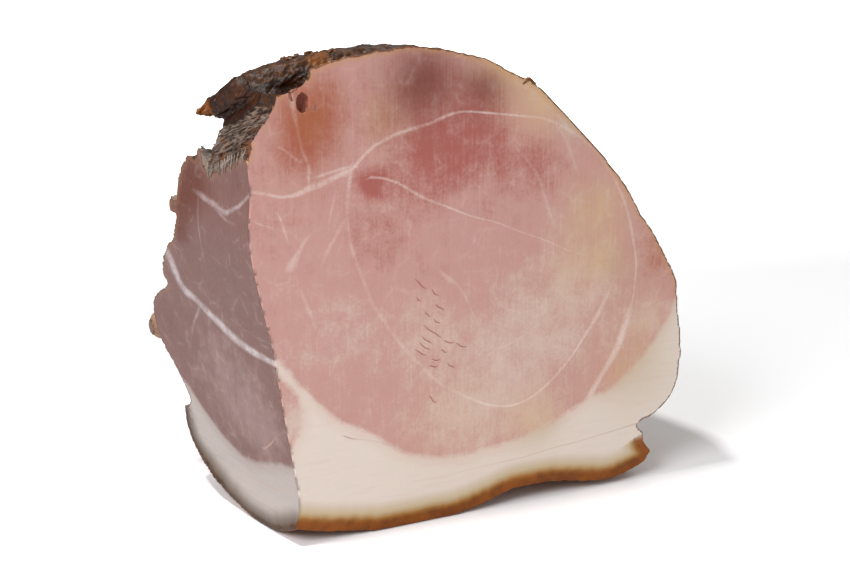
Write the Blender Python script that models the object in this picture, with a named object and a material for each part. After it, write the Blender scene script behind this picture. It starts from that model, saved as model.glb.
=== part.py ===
"""A piece of boneless cooked ham with its rind, cut twice.

The large cut crosses the leg and faces -Y. The side cut meets it in one leaning edge at the left.
Everything else is the ham's own outside: rind below, smoked fat above it and a dark crust on top.
The outside is a loft of upright sections that turn about the edge between the two cuts, from the
outline of the large cut to the outline of the side cut.
"""

import math

import bmesh
import bpy
from mathutils import Vector, noise
from mathutils.geometry import delaunay_2d_cdt

MM = 0.001

# Driving dimensions, in metres and degrees
FACE_Y = -60 * MM  # plane of the large cut
FOOT_X = -85 * MM  # foot of the edge between the two cuts
FOOT_Z = 9 * MM
EDGE_LEAN = 5.3  # the edge leans outward to the left
BEND_START = 178 * MM  # above this height the edge bends in under the crust
BEND_END = 204 * MM
BEND_IN = 15 * MM
# How far the knife strayed to the right of the straight line of the edge: height and distance, in millimetres
EDGE_STRAY = [(9, 0), (14, 1.6), (20, 3), (32, 3), (50, 1.9), (78, 0.5), (95, -0.1), (115, -2.4), (135, -4.2),
              (148, -3.9), (160, -1.8), (170, -0.9), (184, -0.8), (204, 0)]
STRAY_STEPS = 80
CUT_ANGLE = 106  # between the two cuts, seen from above
SIDE_HOLD = 0.94  # share of the turn by which the sections have reached the side cut's outline
BACK_BULGE = 0.16  # how much fuller the back is than a plain blend of the two outlines
BASE_SAG = 8 * MM  # how far the underside would hang below the table, were it not flattened
SAG_FULLNESS = 0.7  # below 1 the sag sets in nearer to the cuts
SAG_REACH = 0.9  # share of the underside, from the edge's foot, that sags

# Rows of the loft along each stretch of an outline, and columns round the back
ROWS = {"rind": 32, "fat": 17, "crust": 34, "shoulder": 9}
COLUMNS = 34
CAP_SPACING = 9 * MM
CAP_MARGIN = 0.6  # inner points keep this share of the spacing from the rim
CURVE_STEPS = 24  # steps along each span of an outline before it is evenly spaced
SOFTENING = 3  # rows over which an outline is smoothed for the sections round the back
DETAIL_FADE = 16  # degrees over which a cut's own notches fade into the back

# Outlines of the two cuts, in millimetres: across from the straight line of the edge, and up
LARGE_CUT = {
    "rind": [(0, 9), (20, 4), (39, 1), (59, 0), (79, 1), (94, 4), (108, 8), (128, 8),
             (145, 5), (162, 3), (175, 6), (182, 9), (186, 14), (182, 19)],
    "fat": [(182, 19), (182, 25), (177, 30), (189, 33), (199, 42), (203, 52), (205, 65), (204, 99)],
    "crust": [(204, 99), (197, 118), (180, 145), (161, 173), (145, 191), (125, 206), (105, 215),
              (86, 220), (65, 220), (45, 217), (29, 214)],
    "shoulder": [(29, 214), (27, 208), (15, 204)],
}
SIDE_CUT = {
    "rind": [(0, 9), (13, 3), (28, 0.5), (45, 2.5), (62, 7.5), (79, 13.5), (90, 20.5), (93.5, 29.5), (92.5, 40)],
    "fat": [(92.5, 40), (85, 43), (86, 49.5), (93.5, 62), (101.5, 71.5), (104.5, 83), (101, 94),
            (88.5, 101.5), (81.5, 106)],
    "crust": [(81.5, 106), (84, 111), (77.5, 122.5), (65.5, 134), (58.5, 144), (59, 154), (57, 162.5),
              (51, 170.5), (45.5, 174), (42.5, 171.5), (40, 174), (37, 178.5), (34, 174.5), (31, 171.5)],
    "shoulder": [(31, 171.5), (25.5, 177.5), (23.5, 182.5), (27, 187), (29, 192), (22, 199), (10, 203), (0, 204)],
}

# Relief of the outside: height in metres for each stretch, and the size of its lumps
RELIEF = {"rind": 0.5 * MM, "fat": 0.9 * MM, "crust": 1.5 * MM, "shoulder": 1.3 * MM}
LUMP_SIZE = 22 * MM
LUMP_ROUGHNESS = 0.9  # higher makes the finer lumps fainter
LUMP_LAYERS = 3

# The thick flap of dried crust: stations from its root under the top crust to its overhanging tip.
# Each is the place of its middle from the foot of the edge, then half its height and half its depth.
FLAP_STATIONS = [
    ((84, 17, 209), 3.5, 8),
    ((62, 21, 212.5), 5, 13),
    ((38, 22, 210.5), 7.5, 17),
    ((14, 22, 208.5), 8.5, 18),
    ((-3, 27, 203), 7.2, 17),
    ((-14, 32, 196.3), 7.8, 14),
    ((-20, 34, 193.5), 5.2, 8),
]
FLAP_TILT = 17  # degrees that the slab falls towards the back
FLAP_SECTIONS = 26
FLAP_SIDES = 18
FLAP_SQUARENESS = 0.7  # 1 is an ellipse, 0 is a box

# The hollow torn in the large cut under the flap's root: across from the edge, up, and half sizes
HOLLOW = ((26, 200), (2.6, 5.0, 4.4))

# Loose bits of fat and crust that cling to the rims: place and half sizes, in millimetres.
# "large" and "side" name the cut whose rim carries the bit, "flap" is measured from the flap's tip.
BITS = [
    ("side", (110, 77.5), (6.0, 5.0, 8.4)),
    ("side", (37.5, 173.5), (2.0, 2.2, 5.5)),
    ("side", (62, 148), (4.2, 3.5, 5.5)),
    ("side", (82.5, 113), (2.5, 2.5, 2.5)),
    ("side", (61, 139), (2.2, 2.2, 2.8)),
    ("large", (62, 219.5), (2.8, 2.4, 1.8)),
    ("large", (75, 220), (2.8, 2.2, 1.6)),
    ("large", (131, 202), (3.0, 2.6, 2.2)),
    ("large", (204.5, 76), (1.6, 2.0, 2.6)),
    ("flap", (-2, -1, 1), (3.2, 2.8, 4.6)),
    ("flap", (-6, -1, 0), (2.6, 2.2, 3.0)),
]
BIT_FACETS = 2
BIT_ROUGHNESS = 0.22
BIT_LUMPS = 1.7  # lumps across half a bit
BIT_TURN = 3  # degrees behind the side cut
BIT_INSET = 3 * MM  # behind the large cut
SMOOTH_BELOW = 40  # degrees between faces that are shaded as one


def remove_everything():
    for obj in list(bpy.data.objects):
        bpy.data.objects.remove(obj, do_unlink=True)


def new_collection(name, shown):
    collection = bpy.data.collections.new(name)
    collection.hide_render = not shown
    bpy.context.scene.collection.children.link(collection)
    return collection


def add_object(name, mesh, collection):
    data = bpy.data.meshes.new(name)
    mesh.to_mesh(data)
    mesh.free()
    obj = bpy.data.objects.new(name, data)
    collection.objects.link(obj)
    return obj


def smoothstep(value):
    value = min(max(value, 0.0), 1.0)
    return value * value * (3 - 2 * value)


def straight_edge_x(height):
    return FOOT_X - math.tan(math.radians(EDGE_LEAN)) * (height - FOOT_Z)


def knife_stray(height):
    """How far right of its straight line the edge lies at this height."""
    line = STRAY_LINE
    if height <= line[0].x:
        return line[0].y
    for low, high in zip(line, line[1:]):
        if height < high.x:
            return low.lerp(high, (height - low.x) / (high.x - low.x)).y
    return line[-1].y


def edge_x(height):
    """Place of the edge between the cuts: nearly straight, then bending in under the crust."""
    bend = smoothstep((height - BEND_START) / (BEND_END - BEND_START))
    return straight_edge_x(height) + knife_stray(height) + BEND_IN * bend


def turn_of(column):
    return math.radians(CUT_ANGLE * column / COLUMNS)


def section_point(reach, height, turn):
    """The point at this reach from the edge, in the upright section turned back by turn."""
    return Vector((edge_x(height) + reach * math.cos(turn), FACE_Y + reach * math.sin(turn), height))


def curve_through(points, count):
    """count points of a Catmull-Rom curve through points, evenly spaced along it, without its last."""
    ends = [points[0] * 2 - points[1]] + points + [points[-1] * 2 - points[-2]]
    fine = []
    for a, b, c, d in zip(ends, ends[1:], ends[2:], ends[3:]):
        for step in range(CURVE_STEPS):
            t = step / CURVE_STEPS
            fine.append(0.5 * (2 * b + (c - a) * t + (2 * a - 5 * b + 4 * c - d) * t**2
                               + (3 * b - 3 * c + d - a) * t**3))
    fine.append(points[-1])
    lengths = [0.0]
    for a, b in zip(fine, fine[1:]):
        lengths.append(lengths[-1] + (b - a).length)
    found = []
    at = 0
    for index in range(count):
        wanted = lengths[-1] * index / count
        while lengths[at + 1] < wanted:
            at += 1
        share = (wanted - lengths[at]) / (lengths[at + 1] - lengths[at])
        found.append(fine[at].lerp(fine[at + 1], share))
    return found


def smooth_line(points, count):
    """The evenly spaced points of the curve through points given in millimetres, with its last."""
    places = [Vector(point) * MM for point in points]
    return curve_through(places, count) + [places[-1]]


STRAY_LINE = smooth_line(EDGE_STRAY, STRAY_STEPS)


def read_outline(cut, is_large):
    """The rows of one cut as (reach from the edge, height), in metres."""
    rows = []
    for stretch, count in ROWS.items():
        points = [Vector((across, up)) * MM for across, up in cut[stretch]]
        rows += curve_through(points, count)
    rows.append(Vector(cut["shoulder"][-1]) * MM)
    if is_large:
        for row in rows:
            row.x += straight_edge_x(row.y) - edge_x(row.y)
    return rows


def soften(rows):
    """The same outline without its small notches. Its two ends stay."""
    soft = []
    for index in range(len(rows)):
        width = min(SOFTENING, index, len(rows) - 1 - index)
        near = rows[index - width:index + width + 1]
        soft.append(sum(near, Vector((0, 0))) / len(near))
    return soft


def stretch_of_rows():
    names = [name for name, count in ROWS.items() for _ in range(count)]
    return names + ["shoulder"]


def relief_at(point, stretch):
    return RELIEF[stretch] * noise.fractal(point / LUMP_SIZE, LUMP_ROUGHNESS, 2.0, LUMP_LAYERS)


def outside_rows():
    """Every row of the loft, from the foot of the edge to its top, as points from cut to cut."""
    large, side = read_outline(LARGE_CUT, True), read_outline(SIDE_CUT, False)
    large_soft, side_soft = soften(large), soften(side)
    stretches = stretch_of_rows()
    grid = []
    for row in range(len(large)):
        line = []
        for column in range(COLUMNS + 1):
            degrees = CUT_ANGLE * column / COLUMNS
            share = smoothstep(column / COLUMNS / SIDE_HOLD)
            at = large_soft[row].lerp(side_soft[row], share)
            at += (large[row] - large_soft[row]) * math.exp(-(degrees / DETAIL_FADE) ** 2)
            at += (side[row] - side_soft[row]) * math.exp(-((CUT_ANGLE - degrees) / DETAIL_FADE) ** 2)
            middle = math.sin(math.pi * column / COLUMNS)
            at.x *= 1 + BACK_BULGE * middle
            if stretches[row] == "rind":
                along = min(row / (SAG_REACH * ROWS["rind"]), 1)
                at.y -= BASE_SAG * middle**SAG_FULLNESS * math.sin(math.pi * along)
            line.append(at)
        grid.append(line)
    return grid, stretches


def with_relief(grid, stretches):
    """Moves each inner row along its own normal within the section, so that both cuts stay flat."""
    lines = [grid[0]]
    for before, line, after, stretch in zip(grid, grid[1:], grid[2:], stretches[1:]):
        moved = []
        for column, at in enumerate(line):
            along = after[column] - before[column]
            normal = Vector((along.y, -along.x)).normalized()
            place = section_point(at.x, at.y, turn_of(column))
            moved.append(at + normal * relief_at(place, stretch))
        lines.append(moved)
    return lines + [grid[-1]]


def fill_cut(mesh, rim, turn):
    """Closes a cut: rim is its closed outline as (reach, height, vertex), filled with even triangles."""
    outline = [Vector((reach, height)) for reach, height, _ in rim]
    low = Vector((min(p.x for p in outline), min(p.y for p in outline)))
    high = Vector((max(p.x for p in outline), max(p.y for p in outline)))
    inner = []
    across = int((high.x - low.x) / CAP_SPACING)
    up = int((high.y - low.y) / CAP_SPACING)
    for i in range(1, across + 1):
        for j in range(1, up + 1):
            shift = 0.5 * (j % 2)
            point = low + Vector(((i + shift) * CAP_SPACING, j * CAP_SPACING))
            if min((point - p).length for p in outline) > CAP_MARGIN * CAP_SPACING:
                inner.append(point)
    count = len(outline)
    edges = [(i, (i + 1) % count) for i in range(count)]
    flat = delaunay_2d_cdt(outline + inner, edges, [], 1, 1e-7)
    places, triangles, origins = flat[0], flat[2], flat[3]
    corners = []
    for place, origin in zip(places, origins):
        known = [i for i in origin if i < count]
        corners.append(rim[known[0]][2] if known else mesh.verts.new(section_point(place.x, place.y, turn)))
    for triangle in triangles:
        mesh.faces.new([corners[i] for i in triangle])


def build_body(collection):
    """The ham itself: the lofted outside, closed by its two cuts and flattened where it rests."""
    lines = with_relief(*outside_rows())
    mesh = bmesh.new()
    foot = mesh.verts.new(section_point(*lines[0][0], 0))
    top = mesh.verts.new(section_point(*lines[-1][0], 0))
    rows = [[foot] * (COLUMNS + 1)]
    for line in lines[1:-1]:
        rows.append([mesh.verts.new(section_point(*at, turn_of(column))) for column, at in enumerate(line)])
    rows.append([top] * (COLUMNS + 1))
    for lower, upper in zip(rows, rows[1:]):
        for a, b, c, d in zip(lower, lower[1:], upper[1:], upper):
            mesh.faces.new(list(dict.fromkeys((a, b, c, d))))

    edge_steps = int((BEND_END - FOOT_Z) / CAP_SPACING)
    heights = [BEND_END + (FOOT_Z - BEND_END) * step / edge_steps for step in range(1, edge_steps)]
    edge = [(0.0, height, mesh.verts.new(section_point(0.0, height, 0))) for height in heights]
    for column in (0, COLUMNS):
        rim = [(line[column].x, line[column].y, vertices[column]) for line, vertices in zip(lines, rows)]
        fill_cut(mesh, rim + edge, turn_of(column))

    bmesh.ops.triangulate(mesh, faces=mesh.faces)
    everything = mesh.verts[:] + mesh.edges[:] + mesh.faces[:]
    bmesh.ops.bisect_plane(mesh, geom=everything, dist=1e-6, plane_co=(0, 0, 0), plane_no=(0, 0, 1),
                           clear_inner=True)
    rims = [edge for edge in mesh.edges if edge.is_boundary]
    bmesh.ops.holes_fill(mesh, edges=rims, sides=0)
    bmesh.ops.dissolve_degenerate(mesh, dist=0.05 * MM, edges=mesh.edges)
    bmesh.ops.triangulate(mesh, faces=mesh.faces)
    bmesh.ops.recalc_face_normals(mesh, faces=mesh.faces)
    return add_object("cooked_ham", mesh, collection)


def build_flap(collection):
    """The dark flap of dried crust, a slab that lies behind the top rim and overhangs the side cut."""
    origin = Vector((FOOT_X, FACE_Y, 0))
    middles = [Vector(place) * MM for place, _, _ in FLAP_STATIONS]
    middles = curve_through(middles, FLAP_SECTIONS) + [middles[-1]]
    sizes = [Vector((height, depth)) * MM for _, height, depth in FLAP_STATIONS]
    mesh = bmesh.new()
    rings = []
    for index, middle in enumerate(middles):
        forward = (middles[min(index + 1, FLAP_SECTIONS)] - middles[max(index - 1, 0)]).normalized()
        up = (Vector((0, 0, 1)) - forward * forward.z).normalized()
        back = forward.cross(up)
        tilt = math.radians(FLAP_TILT)
        back, up = back * math.cos(tilt) - up * math.sin(tilt), up * math.cos(tilt) + back * math.sin(tilt)
        share = index / FLAP_SECTIONS * (len(sizes) - 1)
        low = min(int(share), len(sizes) - 2)
        half_height, half_depth = sizes[low].lerp(sizes[low + 1], share - low)
        ring = []
        for side in range(FLAP_SIDES):
            angle = 2 * math.pi * side / FLAP_SIDES
            across = math.copysign(abs(math.cos(angle)) ** FLAP_SQUARENESS, math.cos(angle))
            rise = math.copysign(abs(math.sin(angle)) ** FLAP_SQUARENESS, math.sin(angle))
            offset = back * across * half_depth + up * rise * half_height
            point = origin + middle + offset
            ring.append(mesh.verts.new(point + offset.normalized() * relief_at(point, "crust")))
        rings.append(ring)
    for first, second in zip(rings, rings[1:]):
        for side in range(FLAP_SIDES):
            after = (side + 1) % FLAP_SIDES
            mesh.faces.new((first[side], first[after], second[after], second[side]))
    mesh.faces.new(rings[0])
    mesh.faces.new(reversed(rings[-1]))
    bmesh.ops.recalc_face_normals(mesh, faces=mesh.faces)
    add_object("crust_flap", mesh, collection)


def build_hollow(collection):
    """The cutter for the hollow under the flap's root."""
    (across, up), half_sizes = HOLLOW
    centre = Vector((straight_edge_x(up * MM) + across * MM, FACE_Y, up * MM))
    mesh = bmesh.new()
    bmesh.ops.create_icosphere(mesh, subdivisions=BIT_FACETS, radius=1)
    for vertex in mesh.verts:
        vertex.co = centre + Vector([c * h * MM for c, h in zip(vertex.co, half_sizes)])
    add_object("hollow", mesh, collection)


def bit_centre(carrier, place):
    if carrier == "flap":
        tip = Vector(FLAP_STATIONS[-1][0])
        return Vector((FOOT_X, FACE_Y, 0)) + (tip + Vector(place)) * MM
    reach, height = place[0] * MM, place[1] * MM
    if carrier == "side":
        return section_point(reach, height, math.radians(CUT_ANGLE - BIT_TURN))
    return Vector((straight_edge_x(height) + reach, FACE_Y + BIT_INSET, height))


def build_bits(collection):
    for number, (carrier, place, half_sizes) in enumerate(BITS):
        mesh = bmesh.new()
        bmesh.ops.create_icosphere(mesh, subdivisions=BIT_FACETS, radius=1)
        centre = bit_centre(carrier, place)
        for vertex in mesh.verts:
            rough = 1 + BIT_ROUGHNESS * noise.noise(vertex.co * BIT_LUMPS + Vector((number, 0, 0)))
            vertex.co = centre + Vector([c * h * MM * rough for c, h in zip(vertex.co, half_sizes)])
        add_object(f"bit_{number}", mesh, collection)


def apply_boolean(body, collection, operation):
    """Joins or cuts the body with everything in the collection, then removes the collection's objects."""
    for obj in collection.objects:
        obj.hide_render = True
        obj.display_type = "WIRE"
    boolean = body.modifiers.new("boolean", "BOOLEAN")
    boolean.operation = operation
    boolean.operand_type = "COLLECTION"
    boolean.collection = collection
    boolean.solver = "EXACT"
    graph = bpy.context.evaluated_depsgraph_get()
    result = bpy.data.meshes.new_from_object(body.evaluated_get(graph))
    body.modifiers.clear()
    body.data = result
    for obj in list(collection.objects):
        bpy.data.objects.remove(obj, do_unlink=True)


def make_material():
    """Cooked, smoked pork: pink meat with a soft, slightly moist surface."""
    material = bpy.data.materials.new("cooked_ham_meat")
    material.use_nodes = True
    shader = material.node_tree.nodes["Principled BSDF"]
    shader.inputs["Base Color"].default_value = (0.58, 0.31, 0.27, 1)
    shader.inputs["Roughness"].default_value = 0.45
    shader.inputs["Metallic"].default_value = 0.0
    return material


def main():
    remove_everything()
    parts = new_collection("cooked ham", shown=True)
    additions = new_collection("fused additions", shown=False)
    cutters = new_collection("cutters", shown=False)
    body = build_body(parts)
    build_flap(additions)
    build_bits(additions)
    apply_boolean(body, additions, "UNION")
    build_hollow(cutters)
    apply_boolean(body, cutters, "DIFFERENCE")
    body.data.materials.clear()
    body.data.materials.append(make_material())
    body.data.shade_smooth()
    body.data.set_sharp_from_angle(angle=math.radians(SMOOTH_BELOW))


main()
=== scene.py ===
import math
import random

import bmesh
import bpy
import numpy as np
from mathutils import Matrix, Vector, noise
from mathutils.bvhtree import BVHTree
from mathutils.kdtree import KDTree


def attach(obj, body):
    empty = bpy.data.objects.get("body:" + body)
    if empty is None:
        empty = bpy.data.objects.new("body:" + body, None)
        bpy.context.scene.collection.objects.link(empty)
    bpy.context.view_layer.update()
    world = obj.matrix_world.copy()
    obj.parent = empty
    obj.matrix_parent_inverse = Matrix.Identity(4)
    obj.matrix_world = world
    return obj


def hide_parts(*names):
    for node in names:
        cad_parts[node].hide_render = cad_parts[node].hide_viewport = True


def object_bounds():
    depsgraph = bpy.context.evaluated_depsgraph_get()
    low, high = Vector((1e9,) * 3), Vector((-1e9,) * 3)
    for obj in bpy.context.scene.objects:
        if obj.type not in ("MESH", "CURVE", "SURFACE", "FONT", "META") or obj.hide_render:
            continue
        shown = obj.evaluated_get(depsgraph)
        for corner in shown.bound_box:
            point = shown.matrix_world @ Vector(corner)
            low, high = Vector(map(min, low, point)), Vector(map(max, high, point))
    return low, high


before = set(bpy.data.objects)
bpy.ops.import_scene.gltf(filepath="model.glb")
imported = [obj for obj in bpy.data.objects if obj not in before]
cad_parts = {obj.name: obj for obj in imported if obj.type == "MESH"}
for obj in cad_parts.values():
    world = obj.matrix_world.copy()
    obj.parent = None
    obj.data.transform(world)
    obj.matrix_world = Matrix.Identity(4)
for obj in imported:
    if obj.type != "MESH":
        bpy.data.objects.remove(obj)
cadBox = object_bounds()
print("frame loaded")

mm = 0.001
random.seed(7)

# Where the two cuts lie. The large cut is the ham's foremost plane, and the side cut meets it at the left.
cuts = {
    "faceY": cadBox[0].y,
    "footX": -85 * mm,  # foot of the edge between the cuts
    "footZ": 9 * mm,
    "lean": 5.3,  # degrees that the edge leans outward
    "angle": 106,  # degrees between the cuts, seen from above
    "bendStart": 178 * mm,  # above this height the edge bends in, and the side is torn instead of cut
    "bendEnd": 204 * mm,
    "bendIn": 15 * mm,
    # how far the knife strayed to the right of the straight edge: height and distance, in millimetres
    "stray": [(9, 0), (14, 1.6), (20, 3), (32, 3), (50, 1.9), (78, 0.5), (95, -0.1), (115, -2.4), (135, -4.2),
              (148, -3.9), (160, -1.8), (170, -0.9), (184, -0.8), (204, 0)],
}


def smoothStep(value, low=0.0, high=1.0):
    share = np.clip((np.asarray(value, float) - low) / (high - low), 0, 1)
    return share * share * (3 - 2 * share)


# A smooth curve through rows of numbers, of which the first two are places in millimetres
def curveThrough(points, step=0.8):
    points = np.asarray(points, float)
    padded = np.vstack([2 * points[0] - points[1], points, 2 * points[-1] - points[-2]])
    rows = []
    for a, b, c, d in zip(padded, padded[1:], padded[2:], padded[3:]):
        count = max(2, int(np.linalg.norm((c - b)[:2]) / step))
        for t in np.arange(count)[:, None] / count:
            rows.append(0.5 * (2 * b + (c - a) * t + (2 * a - 5 * b + 4 * c - d) * t**2
                               + (3 * b - 3 * c + d - a) * t**3))
    return np.vstack(rows + [points[-1]])


strayLine = curveThrough(cuts["stray"]) * mm


def edgeX(z):
    straight = cuts["footX"] - math.tan(math.radians(cuts["lean"])) * (z - cuts["footZ"])
    stray = np.interp(z, strayLine[:, 0], strayLine[:, 1])
    return straight + stray + cuts["bendIn"] * smoothStep(z, cuts["bendStart"], cuts["bendEnd"])


# Reach along the side cut from its edge, and distance off its surface, positive outside the ham
def sideCoordinates(points):
    turn = math.radians(cuts["angle"])
    dx = points[:, 0] - edgeX(points[:, 2])
    dy = points[:, 1] - cuts["faceY"]
    return dx * math.cos(turn) + dy * math.sin(turn), dy * math.cos(turn) - dx * math.sin(turn)


# Places on the cuts, given in millimetres
def sidePlace(reach, up, angle=cuts["angle"]):
    turn = math.radians(angle)
    x = float(edgeX(up * mm)) + reach * mm * math.cos(turn)
    return Vector((x, cuts["faceY"] + reach * mm * math.sin(turn), up * mm))


def facePlace(across, depth, up):
    return Vector((cuts["footX"] + across * mm, cuts["faceY"] + depth * mm, up * mm))


# The hollow near the top of the large cut
hollow = {
    "place": facePlace(8, 2, 200),
    "rim": 10 * mm,  # points this near its place aren't counted as the rim of the cut
    "fine": (8, 202, 11),  # where the mesh is made finer for it: across, up and radius in millimetres
    "depth": 8 * mm,
}


# For each place: distance to the curve, on a plane positive left of its direction, and the row there
def nearestOnCurve(places, curve):
    axes = places.shape[1]
    best = np.full(len(places), 1e9)
    signed = np.zeros(len(places))
    rows = np.zeros((len(places), curve.shape[1]))
    for a, b in zip(curve, curve[1:]):
        along = b[:axes] - a[:axes]
        t = np.clip(((places - a[:axes]) @ along) / max(along @ along, 1e-12), 0, 1)
        distance = np.linalg.norm(places - (a[:axes] + t[:, None] * along), axis=1)
        side = along[0] * (places[:, 1] - a[1]) - along[1] * (places[:, 0] - a[0])
        closer = distance < best
        best[closer] = distance[closer]
        signed[closer] = (np.where(side >= 0, 1, -1) * distance)[closer]
        rows[closer] = (a + t[:, None] * (b - a))[closer]
    return signed, rows


# Signed distance to a closed outline in millimetres, positive inside
def insideOutline(places, outline):
    closed = np.vstack([outline, outline[:1]])
    distance = np.abs(nearestOnCurve(places, closed)[0])
    inside = np.zeros(len(places), bool)
    for (ax, ay), (bx, by) in zip(closed[:, :2], closed[1:, :2]):
        spans = (ay > places[:, 1]) != (by > places[:, 1])
        crossing = ax + (places[:, 1] - ay) * (bx - ax) / (by - ay if by != ay else 1e-9)
        inside ^= spans & (places[:, 0] < crossing)
    return np.where(inside, distance, -distance)


# The ham as one closed mesh, made finer than the solid and roughened where it is dried or torn
hamMesh = {
    "voxel": 1.25 * mm,
    "snap": 0.75 * mm,  # points this near a cut lie on it
    "restSnap": 0.4 * mm,  # points this near the table rest on it
    "smoothing": 14,  # rounds of smoothing that take out the solid's facets
    "craggy": 1.1 * mm,  # depth of the crust's lumps
    "craggySize": 7 * mm,
    "flaky": 0.6 * mm,  # depth of the crust's flakes
    "flakySize": 2.2 * mm,
    "fibrous": 1.5 * mm,  # depth of the strands on the torn patch and the flap
    "fibreWidth": 1.9 * mm,
    "fibreLength": 16 * mm,
    "rindWrinkle": 0.25 * mm,
    "rindWrinkleSize": 5 * mm,
    "fatWaver": 0.35 * mm,  # unevenness of the fat between rind and crust
    "fatWaverSize": 9 * mm,
    "cutWaver": 0.14 * mm,  # the knife's unevenness on the two cuts
    "cutWaverSize": 26 * mm,
    "faint": 0.01,  # a zone's share below this counts as none
}
# The dried flap's middle line: across, depth and up from the foot of the edge, in millimetres, its half
# height along the line, and how much it is squeezed in depth to make it round
flapLine = np.array([(62, 21, 212.5), (38, 22, 210.5), (14, 22, 208.5), (-3, 27, 203), (-14, 32, 196.3),
                     (-20, 34, 193.5)]) * mm + np.array(facePlace(0, 0, 0))
flapReach = [5, 7.5, 8.5, 7.6, 7.8, 6.5]
flapSqueeze = np.array([1, 0.45, 1])

# Cracks across the grain of the large round muscle, each from one end to the other, in millimetres. They are
# drawn as dark red lines, painted shade inside the cracks.
cracks = [
    (58, 119, 64, 113), (66, 113, 70, 109), (68, 106, 73, 102), (67, 99, 71, 96), (62, 97, 72, 89),
    (61, 92, 67, 87), (60, 89, 66, 84), (58, 86, 64, 82), (71, 84, 74, 82), (78, 86, 84, 83),
    (66, 80, 71, 79), (74, 77, 78, 74), (65, 77, 70, 76), (65, 63, 69, 58), (63, 103, 66, 100),
    (59, 110, 61, 108), (72, 88, 78, 86),
]
crackArea = (56, 86, 56, 121)  # their left, right, foot and top


def remeshCopy(source, name, size):
    copy = bpy.data.objects.new(name, source.data.copy())
    bpy.context.scene.collection.objects.link(copy)
    modifier = copy.modifiers.new("even mesh", "REMESH")
    modifier.mode = "VOXEL"
    modifier.voxel_size = size
    graph = bpy.context.evaluated_depsgraph_get()
    mesh = bpy.data.meshes.new_from_object(copy.evaluated_get(graph))
    bpy.data.objects.remove(copy)
    mesh.name = name
    return mesh


def readPoints(mesh, field="co"):
    points = np.empty(len(mesh.vertices) * 3)
    mesh.vertices.foreach_get(field, points)
    return points.reshape(-1, 3)


def writePoints(mesh, points):
    mesh.vertices.foreach_set("co", points.ravel())
    mesh.update()


def readEdges(mesh):
    edges = np.empty(len(mesh.edges) * 2, int)
    mesh.edges.foreach_get("vertices", edges)
    return edges.reshape(-1, 2)


def smoothOnce(points, edges, counts, share):
    total = np.zeros_like(points)
    for axis in range(3):
        total[:, axis] = (np.bincount(edges[:, 0], points[edges[:, 1], axis], len(points))
                          + np.bincount(edges[:, 1], points[edges[:, 0], axis], len(points)))
    return points + share * (total / counts[:, None] - points)


# Puts the points of the two cuts and of the resting patch back where they belong
def holdToPlanes(points, onFace, onSide, onBase):
    turn = math.radians(cuts["angle"])
    off = sideCoordinates(points)[1]
    points[onSide, 0] += off[onSide] * math.sin(turn)
    points[onSide, 1] -= off[onSide] * math.cos(turn)
    points[onFace, 1] = cuts["faceY"]
    both = onFace & onSide
    points[both, 0] = edgeX(points[both, 2])
    points[onBase, 2] = 0
    points[:, 2] = np.maximum(points[:, 2], 0)
    return points


def smoothSkin(mesh, onFace, onSide, onBase, rounds):
    edges = readEdges(mesh)
    points = readPoints(mesh)
    counts = np.maximum(np.bincount(edges.ravel(), minlength=len(points)), 1)
    for index in range(rounds):
        share = 0.5 if index % 2 == 0 else -0.52  # the second step stops the form from shrinking
        points = holdToPlanes(smoothOnce(points, edges, counts, share), onFace, onSide, onBase)
    writePoints(mesh, points)


def whichPlane(points, reach):
    onFace = points[:, 1] < cuts["faceY"] + reach
    along, off = sideCoordinates(points)
    onSide = (np.abs(off) < reach) & (along > -reach) & (points[:, 2] < cuts["bendEnd"])
    return onFace, onSide, points[:, 2] < hamMesh["restSnap"]


# Splits every edge between two chosen points once
def refineWhere(mesh, chosen):
    grid = bmesh.new()
    grid.from_mesh(mesh)
    edges = [e for e in grid.edges if chosen[e.verts[0].index] and chosen[e.verts[1].index]]
    bmesh.ops.subdivide_edges(grid, edges=edges, cuts=1, use_grid_fill=True)
    bmesh.ops.triangulate(grid, faces=[f for f in grid.faces if len(f.verts) > 4])
    grid.to_mesh(mesh)
    grid.free()


# Distance of each point to the flap's middle line, and how far along it, from 0 to 1
def distanceToFlap(points):
    line = np.column_stack([flapLine * flapSqueeze, np.linspace(0, 1, len(flapLine))])
    signed, rows = nearestOnCurve(points * flapSqueeze, line)
    return np.abs(signed), rows[:, 3]


# Signed distance to the nearest crack, in millimetres, and 1 in its middle to 0 at its ends
def crackDistance(places):
    best = np.full(len(places), 1e9)
    signed = np.zeros(len(places))
    middle = np.zeros(len(places))
    for ax, ay, bx, by in cracks:
        dx, dy = bx - ax, by - ay
        length = math.hypot(dx, dy)
        x, y = places[:, 0] - ax, places[:, 1] - ay
        t = (x * dx + y * dy) / length**2
        bow = 0.4 * np.sin(math.pi * np.clip(t, 0, 1)) + 0.15 * np.sin(9 * t + ax)  # cracks sag and waver
        across = (x * dy - y * dx) / length - bow
        over = np.maximum(np.abs(t - 0.5) - 0.5, 0) * length
        distance = np.hypot(across, over)
        closer = distance < best
        best[closer] = distance[closer]
        signed[closer] = across[closer]
        middle[closer] = np.where(over > 0, 0, 1 - np.abs(2 * t - 1) ** 3)[closer]
    middle[best > 1.6] = 0
    return np.clip(signed, -2, 2), middle


# Fractal noise of about -1 to 1 at the points chosen by where, for lumps of this size, and 0 elsewhere
def noiseAt(points, size, layers=3, where=None, ridged=False):
    chosen = np.arange(len(points)) if where is None else np.flatnonzero(where)
    result = np.zeros(len(points))
    scaled = points[chosen] / size
    if ridged:
        result[chosen] = [noise.ridged_multi_fractal(p, 0.9, 2.1, layers, 1, 2.0) - 1 for p in scaled]
        return np.clip(result, -1, 1)
    result[chosen] = [noise.fractal(p, 0.8, 2.1, layers) for p in scaled]
    return result


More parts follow.
